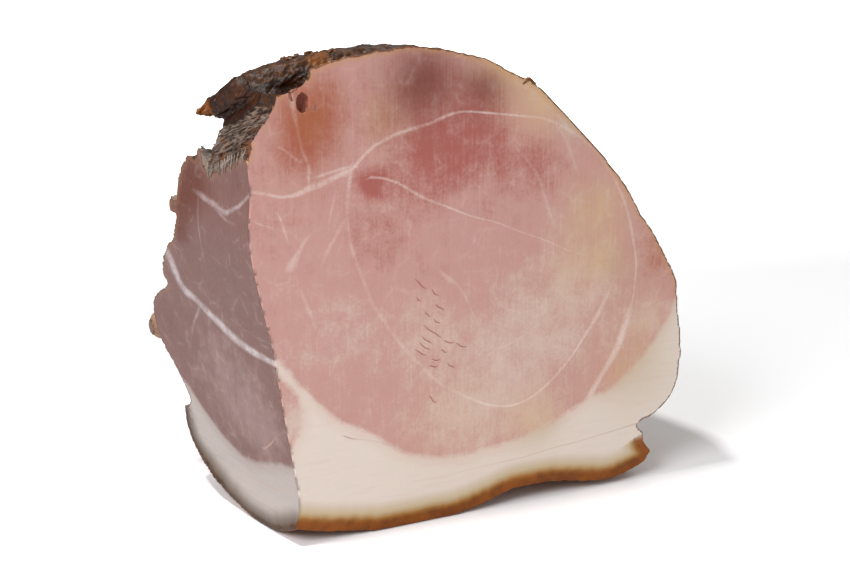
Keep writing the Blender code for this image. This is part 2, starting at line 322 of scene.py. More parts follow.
# Coordinates in which strands along direction, of this width and length, have a size of 1
def stretched(points, direction, width, length):
    direction = np.asarray(direction, float) / np.linalg.norm(direction)
    along = points @ direction
    return points / width + np.outer(along * (1 / length - 1 / width), direction)


def makeHamMesh(source):
    mesh = remeshCopy(source, "ham_whole", hamMesh["voxel"])
    onFace, onSide, onBase = whichPlane(readPoints(mesh), hamMesh["snap"])
    writePoints(mesh, holdToPlanes(readPoints(mesh), onFace, onSide, onBase))
    smoothSkin(mesh, onFace, onSide, onBase, hamMesh["smoothing"])
    left, right, foot, top = crackArea
    hollowAcross, hollowUp, hollowReach = hollow["fine"]
    for fine in (False, True):  # twice round cracks and hollow, once where the outside is torn
        points = readPoints(mesh)
        across, up = (points[:, 0] - cuts["footX"]) / mm, points[:, 2] / mm
        reach, off = sideCoordinates(points)
        onFront = points[:, 1] < cuts["faceY"] + (0.1 * mm if fine else mm)
        chosen = (across > left) & (across < right) & (up > foot) & (up < top) & onFront
        inHollow = points[:, 1] < cuts["faceY"] + hollow["depth"]
        chosen |= (np.hypot(across - hollowAcross, up - hollowUp) < hollowReach) & inHollow
        if not fine:
            chosen |= (distanceToFlap(points)[0] < 11 * mm) & (across < 42)
            chosen |= (up > 168) & (off > -5 * mm) & (reach < 44 * mm)
            chosen |= (reach > 34 * mm) & (off > -6 * mm) & (up > 64)
        refineWhere(mesh, chosen)
    return mesh


# Where the zones of the outside begin and end, all but the last in heights
outside = {
    "rindTop": 20 * mm,  # at the large cut
    "rindRise": 20 * mm,  # how much higher it is at the side cut
    "crustStart": 97 * mm,
    "crustRise": 8 * mm,
    "waver": 4 * mm,  # how far the crust's border wanders, in lumps of waverSize
    "waverSize": 14 * mm,
    "tornFrom": 186 * mm,  # above it what stands off the side cut is flap
    "patchTop": (197 * mm, 200 * mm),
    "patchEnd": (32 * mm, 36 * mm),  # reach along the side cut
}
# The torn patch's lower line on the side cut: reach and height in millimetres
patchFoot = [(-5, 182), (0, 181), (3, 179.5), (9, 177.5), (15, 175), (23, 172), (30, 169), (34, 170)]


# What each point of the outside is: rind, crust, torn patch and flap, each from 0 to 1
def hamZones(points):
    across, up = points[:, 0] - edgeX(points[:, 2]), points[:, 2]
    share = smoothStep(np.degrees(np.arctan2(points[:, 1] - cuts["faceY"], across)) / cuts["angle"])
    waver = noiseAt(points, outside["waverSize"], 3) * outside["waver"]
    rindTop = outside["rindTop"] + outside["rindRise"] * share
    crustStart = outside["crustStart"] + outside["crustRise"] * share
    rind = 1 - smoothStep(up, rindTop - 1.5 * mm, rindTop + 2.5 * mm)
    crust = smoothStep(up + waver, crustStart - 12 * mm, crustStart + 16 * mm)
    reach, off = sideCoordinates(points)
    patch = (1 - smoothStep(np.abs(off), 2 * mm, 6 * mm)) * (points[:, 1] > cuts["faceY"] + 0.2 * mm)
    line = np.interp(reach / mm, *zip(*patchFoot))
    patch = patch * smoothStep(up / mm + waver / mm * 0.3, line - 1.2, line + 1.2)
    patch = patch * (1 - smoothStep(reach, *outside["patchEnd"])) * (1 - smoothStep(up, *outside["patchTop"]))
    distance, along = distanceToFlap(points)
    reachHere = np.interp(along, np.linspace(0, 1, len(flapReach)), flapReach)
    flap = (1 - smoothStep(distance / mm, reachHere - 0.8, reachHere + 0.8)) * smoothStep(along, 0.02, 0.2)
    flap = np.maximum(flap, (off > 2 * mm) * (up > outside["tornFrom"]) * (reach > 0))
    return rind, crust, patch * (1 - flap), flap


# Moves the outside in and out: crags on the crust, strands on flap and patch, wrinkles on the rind
def roughen(mesh, zones):
    points, normals = readPoints(mesh), readPoints(mesh, "normal")
    onFace, onSide, onBase = whichPlane(points, 0.12 * mm)
    rind, crust, patch, flap = zones
    faint = hamMesh["faint"]
    cut = onFace | (onSide & (patch < 2 * faint))
    crags = crust * (1 - patch) * (1 - 0.6 * flap)
    craggy = ~cut & (crags > faint)

    lumps = noiseAt(points, hamMesh["craggySize"], 3, craggy, ridged=True)
    height = -hamMesh["craggy"] * crags * (0.5 + 0.5 * lumps)
    height -= hamMesh["flaky"] * crags * (0.5 + noiseAt(points + 3.1, hamMesh["flakySize"], 2, craggy))
    fibres = stretched(points, (0.62, -0.1, 0.78), hamMesh["fibreWidth"], hamMesh["fibreLength"])
    height += hamMesh["fibrous"] * 0.5 * flap * (noiseAt(fibres, 1, 3, flap > faint) - 0.2)
    strands = stretched(points, (0.25, -0.87, 0.42), hamMesh["fibreWidth"], hamMesh["fibreLength"])
    height += hamMesh["fibrous"] * patch * (noiseAt(strands, 1, 3, patch > faint) - 0.5)
    wrinkles = noiseAt(points + 1.7, hamMesh["rindWrinkleSize"], 3, rind > faint)
    height -= hamMesh["rindWrinkle"] * rind * (1 + wrinkles)
    bare = (1 - crust) * (1 - rind)
    lumps = noiseAt(points + 5.3, hamMesh["fatWaverSize"], 3, ~cut & (bare > faint))
    height -= hamMesh["fatWaver"] * bare * (1 + lumps)

    height[cut] = -hamMesh["cutWaver"] * (1 + noiseAt(points, hamMesh["cutWaverSize"], 2, cut)[cut])
    height[onBase] = 0
    points = points + normals * height[:, None]
    writePoints(mesh, np.clip(points, np.array(cadBox[0]), np.array(cadBox[1])))


# Keeps a number or a vector for each chosen point, and 0 for the others, for the materials to read
def addField(mesh, name, values, chosen=slice(None)):
    values = np.asarray(values, np.float32)
    whole = np.zeros((len(mesh.vertices),) + values.shape[1:], np.float32)
    whole[chosen] = values
    kind, field = ("FLOAT", "value") if whole.ndim == 1 else ("FLOAT_VECTOR", "vector")
    attribute = mesh.attributes.new(name, kind, "POINT")
    attribute.data.foreach_set(field, whole.ravel())


# Seams of fat and sinew on the large cut: across and up in millimetres, half width in millimetres, strength.
# Lines of one group keep clear of each other, so that each group is kept as one field.
largeSeams = [
    [  # round the top and right of the large round muscle
        [(29, 170, 0.9, 0.7), (39, 179, 0.9, 0.55), (51, 184, 1, 0.45), (65, 187, 0.9, 0.45),
         (74, 190, 0.8, 0.6), (82, 191, 0.55, 0.75), (97, 189, 0.55, 0.75), (110, 187, 0.6, 0.6),
         (121, 185, 0.7, 0.4), (130, 181, 0.8, 0.3), (140, 175, 0.9, 0.25), (148, 168, 0.9, 0.25),
         (158, 155, 0.8, 0.3), (165, 141, 0.7, 0.45), (169, 128, 0.8, 0.5), (172, 114, 0.7, 0.55),
         (172, 104, 0.6, 0.35), (171, 94, 0.8, 0.4), (168, 84, 2.0, 0.75), (164, 72, 2.2, 0.8),
         (158, 62, 1.6, 0.75), (150, 50, 1.8, 0.75), (146, 42, 1.8, 0.75)],
        [(69, 122, 0.6, 0), (74, 117, 1.3, 0.5), (79, 113, 0.8, 0.3), (84, 105, 0.6, 0.22),
         (88, 96, 0.5, 0.18), (92, 90, 0.4, 0)],
        [(10, 168, 1, 0.4), (10.3, 173.5, 0.8, 0.3), (7.5, 180, 0.8, 0.2), (6, 188, 0.8, 0.15),
         (4.5, 196, 1.2, 0.3), (3.5, 203, 1.4, 0.35)],
    ],
    [  # under it and inside it
        [(29, 170, 1.1, 0.65), (28, 163, 1, 0.45), (27, 153, 0.9, 0.3), (28, 140, 0.8, 0.25),
         (31, 129, 0.9, 0.25), (38, 110, 1, 0.22), (44, 100, 1, 0.22), (52, 88, 1, 0.25),
         (61, 78, 0.9, 0.25), (69, 69, 0.9, 0.28), (79, 62, 0.9, 0.35), (89, 56, 0.7, 0.55),
         (99, 52, 0.6, 0.7), (109, 51, 0.6, 0.75), (119, 54, 0.6, 0.7), (129, 61, 0.7, 0.65),
         (139, 71, 0.7, 0.65), (147, 82, 0.8, 0.65), (153, 91, 1.3, 0.6), (158, 101, 1, 0.2),
         (161, 108, 0.8, 0)],
        [(35, 165, 0.4, 0), (38, 166, 0.6, 0.65), (44, 165, 0.65, 0.75), (51, 162, 0.7, 0.75),
         (62, 155, 0.75, 0.72), (75, 149, 0.6, 0.62), (86, 144, 0.5, 0.55), (98, 140, 0.45, 0.45),
         (111, 134, 0.4, 0.4), (123, 129, 0.4, 0.35), (135, 123, 0.45, 0.35), (145, 119, 0.4, 0)],
        [(9, 70, 0.8, 0.45), (20, 59, 0.8, 0.35), (37, 48, 0.9, 0.3), (60, 34, 0.9, 0.2), (84, 31, 0.9, 0.2),
         (114, 34, 0.8, 0.2), (142, 45, 0.8, 0.2)],
    ],
    [  # the white band at the left, and faint veins
        [(30, 170.5, 1, 0.7), (26, 169, 1.3, 0.75), (19.5, 166.8, 1.5, 0.75), (15.5, 165, 1.6, 0.75),
         (10.5, 164, 1.6, 0.7), (5.5, 162, 1.2, 0.65), (-2, 161.3, 0.8, 0.7), (-9.5, 163.4, 0.8, 0.5),
         (-16, 165, 0.8, 0.3)],
        [(-4, 183, 0.5, 0), (-2, 182, 0.6, 0.3), (1.3, 179.7, 0.7, 0.35), (5.1, 176.4, 0.8, 0.3),
         (8, 175, 0.6, 0)],
        [(-13, 151.4, 0.5, 0.35), (-10, 150, 0.6, 0.45), (-5, 148, 0.5, 0)],
        [(12, 146, 0.7, 0), (8.2, 141.8, 0.9, 0.3), (5.4, 137.8, 1.2, 0.45), (1.2, 130.8, 2.2, 0.6),
         (-2, 129, 0.8, 0)],
        [(5, 121, 0.8, 0), (7, 115, 1, 0.35), (9.6, 108.4, 0.9, 0.4), (12, 100, 0.6, 0)],
        [(104, 176, 0.7, 0), (112, 168, 0.9, 0.2), (119, 158, 0.9, 0.25), (123, 147, 0.9, 0.22),
         (126, 139, 0.8, 0.2), (128, 133, 0.5, 0)],
        [(93, 76, 0.4, 0), (97, 79, 0.5, 0.2), (104, 81, 0.5, 0.25), (112, 84, 0.5, 0.25),
         (119, 88, 0.5, 0.2), (124, 92, 0.4, 0)],
        [(28, 152, 0.8, 0), (24, 146, 1, 0.2), (18, 136, 0.9, 0.25), (14, 128, 0.7, 0)],
    ],
    [  # strands beside the band, and more veins
        [(28, 171.5, 0.6, 0.5), (22, 170.3, 0.8, 0.6), (15.5, 168.8, 0.8, 0.5), (11, 168.4, 0.5, 0)],
        [(-5, 156, 0.5, 0), (-3, 152.6, 0.6, 0.4), (-1.8, 149, 0.7, 0.5), (-0.7, 145, 0.6, 0.35),
         (1, 140, 0.4, 0)],
        [(22, 163, 0.4, 0), (21, 158, 0.6, 0.25), (19, 150, 0.6, 0.25), (18, 143, 0.4, 0)],
        [(96, 124, 0.5, 0), (99, 116, 0.6, 0.2), (97, 108, 0.6, 0.2), (102, 100, 0.5, 0.18),
         (112, 96, 0.5, 0.18), (121, 97, 0.4, 0)],
        [(120, 190, 0.7, 0), (130, 178, 1, 0.2), (136, 166, 1, 0.22), (140, 156, 0.7, 0)],
    ],
]
# Thin dark lines on the large cut, painted shade in creases in the fat, the slit by it and splits along the
# seams
largeCreases = [[
    [(176, 30, 0.5, 0.6), (151, 27, 0.3, 0.5), (128, 25, 0.3, 0.5), (110, 23, 0.3, 0.4),
     (89, 22.5, 0.25, 0.25), (70, 21, 0.25, 0.2), (50, 22, 0.25, 0)],
    [(22, 50.5, 0.2, 0), (24.5, 49.5, 0.45, 1.0), (27.5, 48, 0.4, 0.9), (31, 47, 0.25, 0.5),
     (38, 45, 0.25, 0.4), (46, 41.5, 0.25, 0.35), (54, 37.5, 0.25, 0.25), (60, 34, 0.25, 0)],
    [(22, 171.4, 0.2, 0), (17, 169, 0.25, 0.5), (12.5, 166.5, 0.25, 0.5), (8, 164.6, 0.25, 0.35),
     (0, 163.2, 0.3, 0.5), (-8, 165, 0.3, 0.5), (-14, 166, 0.2, 0)],
    [(2, 81, 0.2, 0), (5, 77, 0.3, 0.6), (8.5, 72.5, 0.25, 0.5), (12, 68, 0.2, 0)],
    [(164, 144, 0.2, 0), (168, 131, 0.3, 0.35), (172.2, 117, 0.3, 0.5), (173.5, 103, 0.25, 0.4),
     (171.5, 90, 0.2, 0)],
]]
# Fat under the meat of the large cut, an outline in millimetres that runs on past the ham's own rim
largeFat = [
    (-8, 91), (-5, 89), (1, 80.5), (9, 70.5), (18, 60), (22, 57.5), (27, 54), (37, 48), (51, 37.5),
    (60, 33.5), (70, 31), (84, 30), (99, 31.5), (114, 34), (128, 37), (142, 44), (150, 48.5), (158, 49),
    (166, 53), (176, 62), (186, 73.5), (194, 85), (197, 96), (203, 104), (230, 104), (230, -20),
    (-20, -20), (-20, 45), (-3, 45), (-1, 48), (1.5, 52), (4.5, 58), (5, 64), (3, 73), (-2, 79), (-8, 85),
]
# Broad tints of the large cut: across, up, radius in millimetres, then how pale, golden and dusky. The golden
# amount is partly golden meat and partly painted iridescent sheen; below 0 it turns the meat rust-orange.
# Amounts left out are 0.
largeTints = [
    (90, 178, 24, -0.75), (60, 172, 18, -0.65), (38, 163, 7, -0.9), (120, 165, 16, -0.4),
    (150, 140, 16, 0.2, 0.7), (140, 118, 16, 0.3, 0.35), (155, 116, 9, 0.2, 0.5), (110, 75, 34, 0.4),
    (80, 48, 26, 0.6, 0.2), (12, 196, 16, -0.7, -0.75), (8, 178, 13, -0.4, -0.3),
    (42, 192, 12, -0.3, 0.45, 0.1), (62, 206, 17, -0.5, 0, 1), (93, 203, 12, -0.5, 0, 0.9),
    (120, 197, 17, 0.7, 0.9), (100, 215, 13, 0.6, 1.1, -0.6), (136, 182, 8, 0.9, 0, 0.2),
    (40, 140, 16, -0.4), (-5, 150, 12, -0.2), (20, 98, 26, 0.3), (184, 116, 14, -0.6, 0.2),
    (180, 84, 14, 0.5, 0.25), (163, 58, 6, -0.2, 0.2), (60, 120, 20, -0.1), (120, 42, 14, 0.4, 0.6),
    (165, 110, 12, 0.3, 0.2, 0.1), (0, 60, 10, 0.8), (66, 95, 18, 0.45, 0.1), (130, 92, 28, 0.4, 0.1),
    (172, 60, 20, 0, 0.5),
]
sideSeams = [
    [
        [(86, 132, 2.5, 0.35), (74, 122, 3.4, 0.6), (69, 108, 3.0, 0.75), (58, 103.5, 2.4, 0.75),
         (46, 98, 2.7, 0.8), (33, 93, 2.7, 0.85), (19, 89.7, 2.2, 0.85), (-1, 88.3, 1.6, 0.85)],
        [(46, 158, 0.9, 0), (39, 156.9, 1.5, 0.3), (32.6, 155.5, 1.6, 0.35), (24.5, 154, 1.5, 0.4),
         (18.8, 152.5, 1.3, 0.4), (12.9, 154.9, 1.2, 0.4), (7.1, 158.1, 1, 0.4), (1, 163, 0.9, 0.4),
         (-1, 165, 0.9, 0.4)],
    ],
    [
        [(24, 152, 0.8, 0.3), (17, 149.5, 0.8, 0.25), (10, 149, 0.5, 0)],
        [(54.7, 104.7, 0.8, 0), (59, 98, 1, 0.3), (66.4, 90, 0.9, 0.25), (71, 80, 0.8, 0)],
        [(40, 158, 0.5, 0), (40, 150, 0.5, 0.3), (40.5, 138, 0.5, 0.25), (41, 122, 0.5, 0)],
    ],
]
sideCreases = [[
    [(42, 25, 0.3, 0), (37, 21, 0.4, 0.5), (28, 21.5, 0.4, 0.4), (19, 21.5, 0.4, 0.5), (7, 25, 0.35, 0.4),
     (-2, 27, 0.3, 0.2)],
    [(25, 40, 0.2, 0), (20.5, 42, 0.4, 0.8), (14, 47, 0.4, 0.7), (9, 52, 0.3, 0)],
]]
sideFat = [
    (112, 69), (95, 60), (81, 50.5), (73, 44), (65.5, 37.5), (56, 32.5), (46, 29), (40, 28.5), (29, 31),
    (12, 36), (-3, 39.5), (-20, 42), (-20, -20), (130, -20), (130, 69),
]
sideTints = [
    (46, 166, 9, -0.9, 0.9), (52, 152, 11, -0.8, 0.8), (58, 138, 8, -0.7, 0.6), (36, 160, 10, -0.4, 0.2),
    (10, 172, 12, -0.4, 0, 0.1), (23, 127, 22, -0.05, 0, 0.2), (42, 69, 28, 0.6, 0, 0.2),
    (90, 85, 12, -0.1, 0.2, 0.1), (20, 50, 18, 0.6, 0, 0.2),
]
# Bits of fat and dried meat on the rims: place, reach in millimetres, then how amber, pale and pink
nodules = [
    (facePlace(-22, 33, 194.5), 4.5, 0.9), (facePlace(-26, 33, 193.5), 5, 0.9),
    (sidePlace(110, 77.5, 103), 10, 0.8, 0.35), (sidePlace(62, 148, 103), 6, 0.35, 0.5),
    (sidePlace(61, 139, 103), 3.5, 0.9), (sidePlace(82.5, 113, 103), 3.5, 0.5, 0.3),
    (facePlace(112, 3, 202.5), 4.5, 1), (sidePlace(31, 174), 8, 0, 0.6), (facePlace(18, 8, 217), 6, 0.7),
    (hollow["place"], 6.5, 0, 0, 1), (sidePlace(3, 184), 4, 0.6, 0, 0.2),
]


# Signed distance, half width and strength of the nearest seam of a group, with strength 0 far off
def seamField(places, seams):
    result = np.tile([9.0, 1, 0.0], (len(places), 1))
    for rows in seams:
        signed, nearest = nearestOnCurve(places, curveThrough(rows))
        closer = np.abs(signed) < np.abs(result[:, 0])
        reach = 3 * max(row[2] for row in rows) + 1
        strength = np.where(np.abs(signed) < reach, np.clip(nearest[:, 3], 0, 1), 0)
        found = np.column_stack([np.clip(signed, -9, 9), np.maximum(nearest[:, 2], 0.05), strength])
        result[closer] = found[closer]
    return result


def tintField(places, tints):
    total = np.zeros((len(places), 3))
    for across, up, radius, *amounts in tints:
        weight = np.exp(-((places[:, 0] - across) ** 2 + (places[:, 1] - up) ** 2) / radius**2)
        total += weight[:, None] * np.array((*amounts, 0, 0)[:3])
    return total


def noduleField(points):
    total = np.zeros((len(points), 3))
    for place, reach, *amounts in nodules:
        distance = np.linalg.norm(points - np.array(place), axis=1)
        weight = 1 - smoothStep(distance, reach * 0.6 * mm, reach * 1.1 * mm)
        total = np.maximum(total, weight[:, None] * np.array((*amounts, 0, 0)[:3]))
    return total


# A search tree of the points on the rim of a cut, without the hollow and the edge that the two cuts share
def rimTree(mesh, points, plane):
    onFace, onSide, _ = whichPlane(points, 0.4 * mm)
    member, other = (onFace, onSide) if plane == "large" else (onSide, onFace)
    edges = readEdges(mesh)
    leaves = member[edges[:, 0]] != member[edges[:, 1]]
    rim = np.unique(np.where(member[edges[leaves, 0]], edges[leaves, 0], edges[leaves, 1]))
    fromHollow = np.linalg.norm(points[rim] - np.array(hollow["place"]), axis=1)
    rim = rim[~other[rim] & (fromHollow > hollow["rim"])]
    tree = KDTree(len(rim))
    for index, point in enumerate(points[rim]):
        tree.insert(point, index)
    tree.balance()
    return tree


def addCutFields(mesh, zones):
    points = readPoints(mesh)
    reach, off = sideCoordinates(points)
    near = 2.5 * mm  # the fields of a cut reach this far into the ham
    nearFace = np.flatnonzero(points[:, 1] < cuts["faceY"] + near)
    nearSide = np.flatnonzero((np.abs(off) < near) & (points[:, 2] < cuts["bendEnd"]))
    large = np.column_stack([points[:, 0] - cuts["footX"], points[:, 2]]) / mm
    side = np.column_stack([reach, points[:, 2]]) / mm
    for name, places, chosen, seams, creases, fat, tints, rindEnd in (
            ("large", large, nearFace, largeSeams, largeCreases, largeFat, largeTints, 22),
            ("side", side, nearSide, sideSeams, sideCreases, sideFat, sideTints, 40)):
        places = places[chosen]
        for kind, groups in (("Seams", seams), ("Creases", creases)):
            for index, group in enumerate(groups):
                addField(mesh, name + kind + str(index), seamField(places, group), chosen)
        addField(mesh, name + "Fat", np.clip(insideOutline(places, np.array(fat, float)), -12, 40), chosen)
        addField(mesh, name + "Tint", tintField(places, tints), chosen)
        tree = rimTree(mesh, points, name)
        found = [tree.find(point) for point in points[chosen]]
        distance = np.minimum([f[2] / mm for f in found], 60)
        heights = np.array([f[0].z for f in found]) / mm
        rindShare = 1 - smoothStep(heights, rindEnd - 2, rindEnd + 3)
        crustShare = smoothStep(heights, 84, 104)
        addField(mesh, name + "Rim", np.column_stack([distance, rindShare, crustShare]), chosen)
    crack, middle = crackDistance(large[nearFace])
    addField(mesh, "crack", np.column_stack([crack, middle, middle * 0]), nearFace)
    rind, crust, patch, flap = zones
    addField(mesh, "zone", np.column_stack([rind, crust, patch]))
    addField(mesh, "flap", flap)
    addField(mesh, "nodules", noduleField(points))


# Gives each face its material: 0 large cut, 1 side cut, 2 everything outside
def sortFaces(mesh, zones):
    points = readPoints(mesh)
    off = sideCoordinates(points)[1]
    count = len(mesh.polygons)
    starts, sizes, normals = np.empty(count, int), np.empty(count, int), np.empty(count * 3)
    mesh.polygons.foreach_get("loop_start", starts)
    mesh.polygons.foreach_get("loop_total", sizes)
    mesh.polygons.foreach_get("normal", normals)
    normals = normals.reshape(-1, 3)
    corners = np.empty(len(mesh.loops), int)
    mesh.loops.foreach_get("vertex_index", corners)
    depth, aside, up, patch = [np.add.reduceat(values[corners], starts) / sizes
                               for values in (points[:, 1], off, points[:, 2], zones[2])]
    near, nearEdge, edgeTop = 0.62 * mm, 0.9 * mm, 181 * mm
    onFace = (normals[:, 1] < -0.75) & (depth < cuts["faceY"] + near)
    onSide = (np.abs(aside) < near) & (patch < 0.5) & (normals[:, 0] < -0.5) & (up < outside["tornFrom"])
    atEdge = (depth < cuts["faceY"] + nearEdge) & (np.abs(aside) < nearEdge) & (up < edgeTop)
    onFace = np.where(atEdge, depth - cuts["faceY"] <= np.abs(aside), onFace)
    onSide = np.where(atEdge, ~onFace, onSide)
    mesh.polygons.foreach_set("material_index", np.where(onFace, 0, np.where(onSide, 1, 2)))


def hexToLinear(text):
    channels = [int(text[i:i + 2], 16) / 255 for i in (0, 2, 4)]
    return (*[c / 12.92 if c <= 0.04045 else ((c + 0.055) / 1.055) ** 2.4 for c in channels], 1)


# Links or fills in the inputs of a node
def fill(node, inputs):
    for name, value in inputs.items():
        if isinstance(value, bpy.types.NodeSocket):
            tree.links.new(value, node.inputs[name])
        else:
            node.inputs[name].default_value = value


# One node with its settings and its inputs
def addNode(kind, links=None, **settings):
    node = tree.nodes.new("ShaderNode" + kind)
    for name, value in settings.items():
        setattr(node, name, value)
    fill(node, links or {})
    return node


# A new material and its shader. The functions below add to its node tree.
def newMaterial(name):
    global tree
    material = bpy.data.materials.new(name)
    material.use_nodes = True
    tree = material.node_tree
    return material, tree.nodes["Principled BSDF"]


def calc(operation, *values, clamp=False):
    return addNode("Math", dict(enumerate(values)), operation=operation, use_clamp=clamp).outputs[0]


# value eased from toLow at low to toHigh at high
def ramp(value, low, high, toLow=0.0, toHigh=1.0):
    links = {"Value": value, "From Min": low, "From Max": high, "To Min": toLow, "To Max": toHigh}
    return addNode("MapRange", links, interpolation_type="SMOOTHSTEP").outputs["Result"]


def blend(share, first, second):
    return addNode("Mix", {0: share, 6: first, 7: second}, data_type="RGBA").outputs[2]


# Noise made to swing about 0 by this amount
def centred(value, amount):
    return calc("MULTIPLY", calc("SUBTRACT", value, 0.5), amount)


def readField(name):
    return addNode("Attribute", attribute_name=name).outputs


def parts(name):
    return addNode("SeparateXYZ", {"Vector": readField(name)["Vector"]}).outputs


# Noise with lumps of this size in millimetres, stretched by scale. Its middle is 0.5.
def grain(place, size, scale=(1, 1, 1), detail=2.0, rough=0.55, shift=0.0):
    links = {"Vector": place, "Scale": scale, "Location": (shift, shift, shift)}
    moved = addNode("Mapping", links).outputs[0]
    links = {"Vector": moved, "Scale": 1 / (size * mm), "Detail": detail, "Roughness": rough}
    return addNode("TexNoise", links).outputs["Fac"]


# How strongly the nearest line of this kind shows at each place, from 0 to 1
def strongest(plane, kind, count):
    total = None
    for index in range(count):
        distance, width, strength = parts(plane + kind + str(index))[:3]
        share = calc("DIVIDE", calc("ABSOLUTE", distance), width)
        one = calc("MULTIPLY", ramp(share, 0.2, 1.35, 1, 0), strength)
        total = one if total is None else calc("MAXIMUM", total, one)
    return total


# Cooked ham, cured and sliced: moist muscle, so it is pink, slightly see-through and softly shiny.
# Its fat is creamier and smoother, and the smoke has stained the rind and the fat next to it brown.
meatLooks = {
    "deep": "a55f57", "middle": "bf938a", "pale": "cdb7aa", "goldenAndSheen": "c8a680", "rust": "a05a30",
    "dusky": "703e34", "sinew": "e0cec4", "fat": "d8cbc0", "fatByRind": "bba784", "fatPink": "d2bbaf",
    "rind": "86480a", "rindDark": "713b08", "rindGold": "ac8140", "crustLine": "5c3b22",
    "crustGold": "b98f5c", "crack": "8c4038", "crease": "b59384",
    "fibre": 0.9,  # width of a muscle fibre bundle in millimetres
    "fibreLength": 16.0,
    "mottle": 8.0,
    "speck": 1.4,
    "net": 13.0,  # meshes of the marbling, in millimetres
    "rindBand": 6.6,  # rind and stained fat together, in millimetres
    "rimGlow": 0.4,  # how golden the meat is by the crust
    "roughness": 0.44,
    "specular": 0.3,  # cooked muscle is damp, not wet
    "subsurface": 0.2,
}
# The side cut's colours are a greyer, darker copy of the large cut's: painted shade, since the side faces
# away from the main light
sideShadedLooks = dict(
    meatLooks, deep="613830", middle="70504a", pale="927671", goldenAndSheen="5a2e20", dusky="6a5555", sinew="c8bfbf",
    fat="a79d97", fatPink="988881", fatByRind="63564c", rind="4e321f", rindDark="3c2718", rindGold="5f4a37",
    rindBand=3.0, rimGlow=0.1, crustLine="573a28",
)


